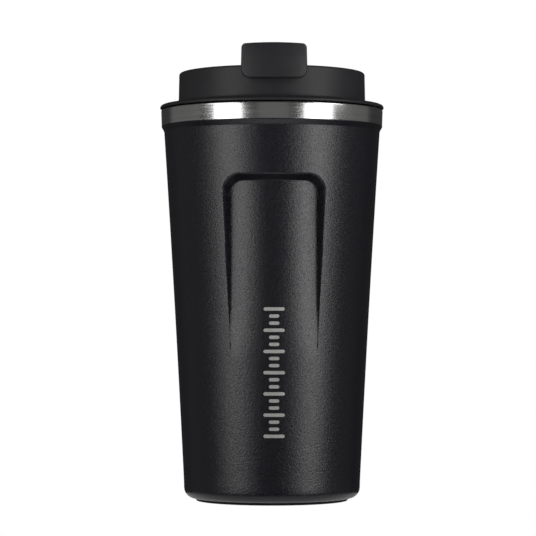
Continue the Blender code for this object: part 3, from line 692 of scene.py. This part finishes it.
def build_liner(steel):
    wall = LINER_WALL
    low = LINER_LOW.z
    inside = rounded([
        (0, low + wall, 0),
        (LINER_CONE_LOW_RADIUS, low + wall, LINER_CORNER),
        (LINER_CONE_HIGH_RADIUS, LINER_CONE_HIGH_Z, 2 * MM),
        (MOUTH_RADIUS, SHOULDER_Z, 1 * MM),
        (MOUTH_RADIUS, RIM_Z, 0.25 * MM),
        (MOUTH_RADIUS + 0.3 * MM, RIM_Z, 0),
    ])
    smooth_side = [(r, z) for r, z in inside if z < RIM_Z - 0.3 * MM]
    outside = offset_wall(smooth_side, -wall)[::-1]
    outside[0] = (0, low)
    outside.append((MOUTH_RADIUS + wall, RIM_Z))
    neck_index = len(smooth_side)
    inside[neck_index:neck_index] = [(MOUTH_RADIUS, z) for z in thread_heights()]

    def threaded(r, angle, z):
        on_mouth = np.abs(r - MOUTH_RADIUS) < 0.01 * MM
        return np.where(on_mouth, r - LINER_THREAD_HEIGHT * thread_ridge(angle, z, 0.0), r)

    liner = turned("liner", outside + inside[::-1], sides=180, reshape=threaded)
    finish_piece(liner, steel, "mug", "steel", "inner_liner")


def build_foot(rubber):
    radius = PAD_HIGH.x
    pad = turned("foot_ring", rounded([
        (0, 0.35 * MM, 0),
        (radius - 9 * MM, 0.35 * MM, 0.1 * MM),
        (radius - 8.6 * MM, 0, 0.15 * MM),
        (radius, 0, 0.35 * MM),
        (radius, PAD_HIGH.z, 0.1 * MM),
        (0, PAD_HIGH.z, 0),
    ], steps=5))
    finish_piece(pad, rubber, "mug", "pad_rubber", "foot_pad")


# ---------------------------------------------------------------- lid
def build_lid(plastic, steel):
    lid = turned("lid_body", rounded([
        (0, DECK_Z - DECK_THICKNESS, 0),
        (SPIGOT_INNER_RADIUS, DECK_Z - DECK_THICKNESS, 0.4 * MM),
        (SPIGOT_INNER_RADIUS, LID_LOW.z, 0.3 * MM),
        (SPIGOT_RADIUS, LID_LOW.z, 0.3 * MM),
        (SPIGOT_RADIUS, FLANGE_LOW_Z, 0),
        (FLANGE_RADIUS, FLANGE_LOW_Z, 0.25 * MM),
        (FLANGE_RADIUS, FLANGE_HIGH_Z, 1.1 * MM),
        (WALL_LOW_RADIUS, FLANGE_HIGH_Z, 1.8 * MM),
        (WALL_TOP_RADIUS, WALL_TOP_Z, 0.93 * MM),
        (WALL_INNER_RADIUS, WALL_TOP_Z, 0.93 * MM),
        (WALL_INNER_RADIUS, DECK_Z, 1.4 * MM),
        (0, DECK_Z, 0),
    ]), sides=256)
    sunk = 0.8 * MM
    for side in (-1, 1):
        near = side * EAR_INNER_X
        far = side * (EAR_INNER_X + EAR_THICKNESS)
        flank = EAR_RADIUS + 1.2 * MM
        outline = [(HINGE.y - flank, DECK_Z - sunk), (HINGE.y + flank, DECK_Z - sunk)]
        outline += [(HINGE.y + EAR_RADIUS * math.cos(math.pi * step / 24),
                     HINGE.z + EAR_RADIUS * math.sin(math.pi * step / 24)) for step in range(25)]
        ear = prism("ear", outline, min(near, far), max(near, far), 'X', edge=0.35 * MM)
        combine(lid, ear, 'UNION')
    bore = circle(PIN_RADIUS + 0.05 * MM, (HINGE.y, HINGE.z))
    combine(lid, prism("bore", bore, -20 * MM, 20 * MM, 'X'), 'DIFFERENCE')
    width, depth = DRINK_HOLE_SIZE
    low = DECK_Z - 2 * DECK_THICKNESS
    high = DECK_Z + DECK_THICKNESS
    combine(lid, prism("hole", racetrack(width, depth, DRINK_HOLE_Y), low, high), 'DIFFERENCE')
    combine(lid, prism("hole", circle(VENT_RADIUS, (0, VENT_Y)), low, high), 'DIFFERENCE')
    finish_piece(lid, plastic, "lid", "lid_plastic", "lid_shell")

    round_pin = circle(PIN_RADIUS, (HINGE.y, HINGE.z))
    pin = prism("pin", round_pin, PIN_LOW.x, PIN_HIGH.x, 'X', edge=0.2 * MM)
    finish_piece(pin, steel, "lid", "steel", "hinge_pin")


def build_plug(plastic):
    low = PLUG_LOW.z
    floor_z = low + PLUG_FLOOR
    groove_top = GASKET_HIGH.z + 0.3 * MM
    inner_floor_radius = GROOVE_RADIUS - 1.6 * MM
    section = rounded([
        (0, low, 0),
        (GROOVE_RADIUS, low, 0.4 * MM),
        (GROOVE_RADIUS, groove_top, 0),
        (PLUG_RADIUS, groove_top, 0.2 * MM),
    ], steps=5)
    section += [(PLUG_RADIUS, z) for z in thread_heights()]
    section += [
        (PLUG_RADIUS, PLUG_TOP_Z),
        (PLUG_INNER_RADIUS, PLUG_TOP_Z),
        (PLUG_INNER_RADIUS, groove_top + 1 * MM),
        (inner_floor_radius, groove_top - 1.3 * MM),
        (inner_floor_radius, floor_z),
        (0, floor_z),
    ]

    def threaded(r, angle, z):
        on_skirt = np.abs(r - PLUG_RADIUS) < 0.01 * MM
        return np.where(on_skirt, r + PLUG_THREAD_HEIGHT * thread_ridge(angle, z, 0.5), r)

    plug = turned("threaded_plug", section, sides=180, reshape=threaded)
    width, depth = DRINK_HOLE_SIZE
    top = PLUG_HIGH.z
    wall = 2 * CHANNEL_WALL
    tubes = (
        (racetrack(width + wall, depth + wall, DRINK_HOLE_Y), racetrack(width, depth, DRINK_HOLE_Y)),
        (circle(VENT_RADIUS + CHANNEL_WALL, (0, VENT_Y)), circle(VENT_RADIUS, (0, VENT_Y))),
    )
    for outside, inside in tubes:
        combine(plug, prism("tube", outside, floor_z - 0.8 * MM, top), 'UNION')
        combine(plug, prism("tube", inside, low - 2 * MM, DECK_Z), 'DIFFERENCE')
    finish_piece(plug, plastic, "lid", "plug_plastic", "lid_plug")


def build_gasket(rubber):
    inner = GROOVE_RADIUS + 0.05 * MM
    outer = GASKET_HIGH.x
    chamfer = 1.2 * MM
    ring = turned("seal_ring", rounded([
        (inner, GASKET_LOW.z, 0.1 * MM),
        (outer - chamfer, GASKET_LOW.z, 0.3 * MM),
        (outer, GASKET_LOW.z + chamfer, 0.3 * MM),
        (outer, GASKET_HIGH.z, 0.5 * MM),
        (inner, GASKET_HIGH.z, 0.1 * MM),
    ], steps=5))
    finish_piece(ring, rubber, "seal", "silicone", "lid_gasket")


# ---------------------------------------------------------------- flip cover
def finger_tab():
    """Plate with rounded rims, sliced upright and bent round the lid's wall, its top leaning back."""
    plate = prism("tab", rounded([
        (-TAB_HALF_WIDTH, TAB_LOW_Z, TAB_LOW_CORNER),
        (TAB_HALF_WIDTH, TAB_LOW_Z, TAB_LOW_CORNER),
        (TAB_HALF_WIDTH - 0.3 * MM, TAB_HIGH_Z - TAB_CROWN, TAB_HIGH_CORNER),
        (-TAB_HALF_WIDTH + 0.3 * MM, TAB_HIGH_Z - TAB_CROWN, TAB_HIGH_CORNER),
    ], steps=10), -TAB_OUTER_RADIUS, -TAB_INNER_RADIUS, 'Y', edge=0.5 * MM, steps=4)
    builder = bmesh.new()
    builder.from_mesh(plate.data)
    for column in range(-12, 13):
        geometry = builder.verts[:] + builder.edges[:] + builder.faces[:]
        bmesh.ops.bisect_plane(builder, geom=geometry, dist=1e-7,
                               plane_co=(column * MM, 0, 0), plane_no=(1, 0, 0))
    for row in range(6):
        height = ARM_HIGH_Z - 0.6 * MM + row * 0.3 * MM
        geometry = builder.verts[:] + builder.edges[:] + builder.faces[:]
        bmesh.ops.bisect_plane(builder, geom=geometry, dist=1e-7,
                               plane_co=(0, 0, height), plane_no=(0, 0, 1))
    for vert in builder.verts:
        x, y, z = vert.co
        lean = 0.12 * float(soft_ramp(np.array(z - ARM_HIGH_Z), 0.6 * MM))
        radius = -y - lean
        vert.co.y = -math.sqrt(radius * radius - x * x)
        crown = 1 - (x / TAB_HALF_WIDTH) ** 2
        share = max(0.0, (z - ARM_HIGH_Z) / (TAB_HIGH_Z - ARM_HIGH_Z))
        vert.co.z = z + TAB_CROWN * crown * share
    builder.to_mesh(plate.data)
    builder.free()
    return plate


def build_flip(plastic):
    cover = prism("flip_arm", circle(BARREL_RADIUS, (HINGE.y, HINGE.z)),
                  -BARREL_HALF_LENGTH, BARREL_HALF_LENGTH, 'X', edge=0.3 * MM)
    waist_y = HINGE.y - BARREL_RADIUS - 2 * MM
    waist = BARREL_HALF_LENGTH - 0.1 * MM
    front_y = -TAB_INNER_RADIUS - 0.4 * MM
    arm = prism("arm", rounded([
        (-waist, HINGE.y + 0.5 * MM, 1.2 * MM),
        (-waist, waist_y, 3 * MM),
        (-ARM_HALF_WIDTH, waist_y - 4 * MM, 3 * MM),
        (-ARM_HALF_WIDTH, front_y, 1.2 * MM),
        (ARM_HALF_WIDTH, front_y, 1.2 * MM),
        (ARM_HALF_WIDTH, waist_y - 4 * MM, 3 * MM),
        (waist, waist_y, 3 * MM),
        (waist, HINGE.y + 0.5 * MM, 1.2 * MM),
    ]), ARM_LOW_Z, ARM_HIGH_Z, edge=0.6 * MM)
    combine(cover, arm, 'UNION')
    combine(cover, finger_tab(), 'UNION')
    width, depth = DRINK_HOLE_SIZE
    boss_low = STOPPER_HIGH.z + 0.05 * MM
    buried = ARM_LOW_Z + 0.8 * MM
    boss = prism("boss", racetrack(width, depth, DRINK_HOLE_Y), boss_low, buried, edge=0.3 * MM)
    combine(cover, boss, 'UNION')
    for y in (DRINK_HOLE_Y, VENT_Y):
        post = prism("post", circle(POST_RADIUS, (0, y)), boss_low - 1.2 * MM, buried + 0.4 * MM)
        combine(cover, post, 'UNION')
    bore = circle(PIN_RADIUS + PIN_GAP, (HINGE.y, HINGE.z))
    combine(cover, prism("bore", bore, -20 * MM, 20 * MM, 'X'), 'DIFFERENCE')
    finish_piece(cover, plastic, "flip", "lid_plastic", "flip_cover")


def build_stoppers(rubber):
    width, depth = DRINK_HOLE_SIZE
    spread = STOPPER_HIGH.x * 2 - width
    flange_low = DECK_Z + 0.3 * MM
    stopper = prism("stopper", racetrack(width + spread, depth + spread, DRINK_HOLE_Y),
                    flange_low, STOPPER_HIGH.z, edge=0.5 * MM)
    slot = racetrack(width - 1 * MM, depth - 2 * MM, DRINK_HOLE_Y)
    tongue = prism("tongue", slot, STOPPER_LOW.z, flange_low + 1 * MM, edge=0.5 * MM)
    combine(stopper, tongue, 'UNION')
    hole = circle(POST_RADIUS + 0.1 * MM, (0, DRINK_HOLE_Y))
    socket = prism("socket", hole, STOPPER_HIGH.z - 1.5 * MM, STOPPER_HIGH.z + 1 * MM)
    combine(stopper, socket, 'DIFFERENCE')
    finish_piece(stopper, rubber, "flip", "silicone", "drink_stopper")

    cap_radius = VENT_CAP_HIGH.x
    post_end = STOPPER_HIGH.z - 1.5 * MM
    cap = turned("vent_cap", rounded([
        (0, VENT_CAP_LOW.z, 0),
        (0.9 * MM, VENT_CAP_LOW.z, 0.5 * MM),
        (1.0 * MM, flange_low, 0),
        (cap_radius, flange_low, 0.3 * MM),
        (cap_radius, VENT_CAP_HIGH.z, 0.4 * MM),
        (POST_RADIUS + 0.1 * MM, VENT_CAP_HIGH.z, 0),
        (POST_RADIUS + 0.1 * MM, post_end, 0),
        (0, post_end, 0),
    ], steps=5), sides=48)
    cap.data.transform(Matrix.Translation((0, VENT_Y, 0)))
    finish_piece(cap, rubber, "flip", "silicone", "vent_stopper")


def dress_hidden_nodes(steel):
    """The vacuum parts and the base plate keep their CAD shape and take procedural materials."""
    looks = {
        "base_plate": steel,
        "port_seal": glass_bead(),
        "getter": mottled_metal("getter_metal", (0.3, 0.3, 0.32), (0.42, 0.42, 0.44), 0.5),
        "foil_wrap": mottled_metal("bright_foil", (0.66, 0.66, 0.67), (0.82, 0.82, 0.83), 0.2),
    }
    for name, material in looks.items():
        node = frame["nodes"][name]
        node.data.materials.clear()
        node.data.materials.append(material)


# ---------------------------------------------------------------- stage
CAMERA_DISTANCE = 0.972
EYE_HEIGHT = 0.0722
LENS = 164.56
SENSOR = 36.0
ORBIT = -1.3  # degrees round the mug, + to the right
PITCH = 1.16  # degrees up
YAW = 0.092  # degrees to the left
FLOOR_REACH = 20.0
BOUNCE = 0.64  # brightness of the floor next to the foot, as the mug sees it
BOUNCE_REACH = 0.039  # how far from the mug's axis the mug sees the floor
WORLD_GLOW = 0.045
# name, azimuth in degrees, distance, height, width, tall in metres, watts
SOFTBOXES = (
    ("left", -46.5, 0.9, 0.10, 0.45, 0.40, 2.5),
    ("left_upper", -55.0, 0.9, 0.58, 0.55, 0.56, 2.5),
    ("right", 46.6, 0.9, 0.09, 0.44, 0.42, 3.24),
    ("right_upper", 60.0, 0.9, 0.58, 0.50, 0.56, 3.2),
    ("side_left", -104.0, 1.2, 0.12, 1.1, 1.4, 0.6),
    ("side_right", 96.0, 1.2, 0.12, 0.9, 1.4, 0.45),
    ("front_fill", 0.0, 1.6, 0.3, 0.9, 1.2, 0.45),
)
CARD_SIZE = (0.7, 0.42)
CARD_SPREAD = 110  # degrees
CARD_POWER = 0.7
CARD_PLACE = (0, -0.29, 0.001)


def add_camera():
    data = bpy.data.cameras.new("camera")
    data.lens = LENS
    data.sensor_width = SENSOR
    camera = bpy.data.objects.new("camera", data)
    orbit = math.radians(ORBIT)
    camera.location = (CAMERA_DISTANCE * math.sin(orbit),
                       -CAMERA_DISTANCE * math.cos(orbit), EYE_HEIGHT)
    camera.rotation_euler = (math.radians(90 + PITCH), 0, orbit + math.radians(YAW))
    bpy.context.scene.collection.objects.link(camera)
    bpy.context.scene.camera = camera


def add_softbox(name, azimuth, distance, height, width, tall, power):
    """Upright softbox that faces the mug. Azimuth is in degrees from the front, + to the right."""
    data = bpy.data.lights.new(name, 'AREA')
    data.shape = 'RECTANGLE'
    data.size = width
    data.size_y = tall
    data.energy = power
    light = bpy.data.objects.new(name, data)
    turn = math.radians(azimuth)
    light.location = (distance * math.sin(turn), -distance * math.cos(turn), height)
    light.rotation_euler = (math.pi / 2, 0, turn)
    light.visible_camera = False
    bpy.context.scene.collection.objects.link(light)
    return light


def add_floor_card():
    """Low panel that lies before the mug and lights its faces that look down."""
    card = bpy.data.lights.new("floor_card", 'AREA')
    card.shape = 'RECTANGLE'
    card.size, card.size_y = CARD_SIZE
    card.spread = math.radians(CARD_SPREAD)
    card.energy = CARD_POWER
    card_object = bpy.data.objects.new("floor_card", card)
    card_object.location = CARD_PLACE
    card_object.rotation_euler = (math.pi, 0, 0)
    bpy.context.scene.collection.objects.link(card_object)


def add_floor():
    """Plain white floor. The mug itself sees only the part of it next to the foot."""
    floor_mesh = bpy.data.meshes.new("floor")
    corners = [(x * FLOOR_REACH, y * FLOOR_REACH, 0)
               for x, y in ((-1, -1), (1, -1), (1, 1), (-1, 1))]
    floor_mesh.from_pydata(corners, [], [(0, 1, 2, 3)])
    floor = bpy.data.objects.new("floor", floor_mesh)
    bpy.context.scene.collection.objects.link(floor)
    material = bpy.data.materials.new("floor_paper")
    material.use_nodes = True
    nodes = material.node_tree.nodes
    links = material.node_tree.links
    nodes.remove(nodes["Principled BSDF"])
    seen = nodes.new("ShaderNodeEmission")
    seen.inputs["Color"].default_value = (1, 1, 1, 1)
    bounced = nodes.new("ShaderNodeEmission")
    bounced.inputs["Strength"].default_value = BOUNCE
    place = nodes.new("ShaderNodeTexCoord")
    distance = nodes.new("ShaderNodeVectorMath")
    distance.operation = 'LENGTH'
    links.new(place.outputs["Object"], distance.inputs[0])
    beyond = nodes.new("ShaderNodeMath")
    beyond.operation = 'GREATER_THAN'
    beyond.inputs[1].default_value = BOUNCE_REACH
    links.new(distance.outputs["Value"], beyond.inputs[0])
    clear = nodes.new("ShaderNodeBsdfTransparent")
    unseen = nodes.new("ShaderNodeMixShader")
    links.new(beyond.outputs["Value"], unseen.inputs["Fac"])
    links.new(bounced.outputs["Emission"], unseen.inputs[1])
    links.new(clear.outputs["BSDF"], unseen.inputs[2])
    path = nodes.new("ShaderNodeLightPath")
    mix = nodes.new("ShaderNodeMixShader")
    links.new(path.outputs["Is Camera Ray"], mix.inputs["Fac"])
    links.new(unseen.outputs["Shader"], mix.inputs[1])
    links.new(seen.outputs["Emission"], mix.inputs[2])
    links.new(mix.outputs["Shader"], nodes["Material Output"].inputs["Surface"])
    floor_mesh.materials.append(material)
    floor.visible_shadow = False


def add_world():
    """White to the camera, a faint glow to everything else."""
    world = bpy.data.worlds.new("studio")
    bpy.context.scene.world = world
    world.use_nodes = True
    nodes = world.node_tree.nodes
    links = world.node_tree.links
    seen = nodes["Background"]
    seen.inputs["Color"].default_value = (1, 1, 1, 1)
    seen.inputs["Strength"].default_value = 1.0
    dim = nodes.new("ShaderNodeBackground")
    dim.inputs["Color"].default_value = (1, 1, 1, 1)
    dim.inputs["Strength"].default_value = WORLD_GLOW
    path = nodes.new("ShaderNodeLightPath")
    mix = nodes.new("ShaderNodeMixShader")
    links.new(path.outputs["Is Camera Ray"], mix.inputs["Fac"])
    links.new(dim.outputs["Background"], mix.inputs[1])
    links.new(seen.outputs["Background"], mix.inputs[2])
    links.new(mix.outputs["Shader"], nodes["World Output"].inputs["Surface"])


def add_stage():
    add_floor()
    add_world()
    for softbox in SOFTBOXES:
        add_softbox(*softbox)
    add_floor_card()
    bpy.context.scene.view_settings.view_transform = 'Standard'


# ---------------------------------------------------------------- everything
steel = brushed_steel()
plastic = lid_plastic()
grey_silicone = silicone()

build_body(powder_coat(), steel, etched_mark())
build_liner(liner_steel())
build_foot(pad_rubber())
build_lid(plastic, steel)
build_plug(plug_plastic())
build_gasket(grey_silicone)
build_flip(plastic)
build_stoppers(grey_silicone)
dress_hidden_nodes(steel)
add_camera()
add_stage()

bpy.context.view_layer.update()
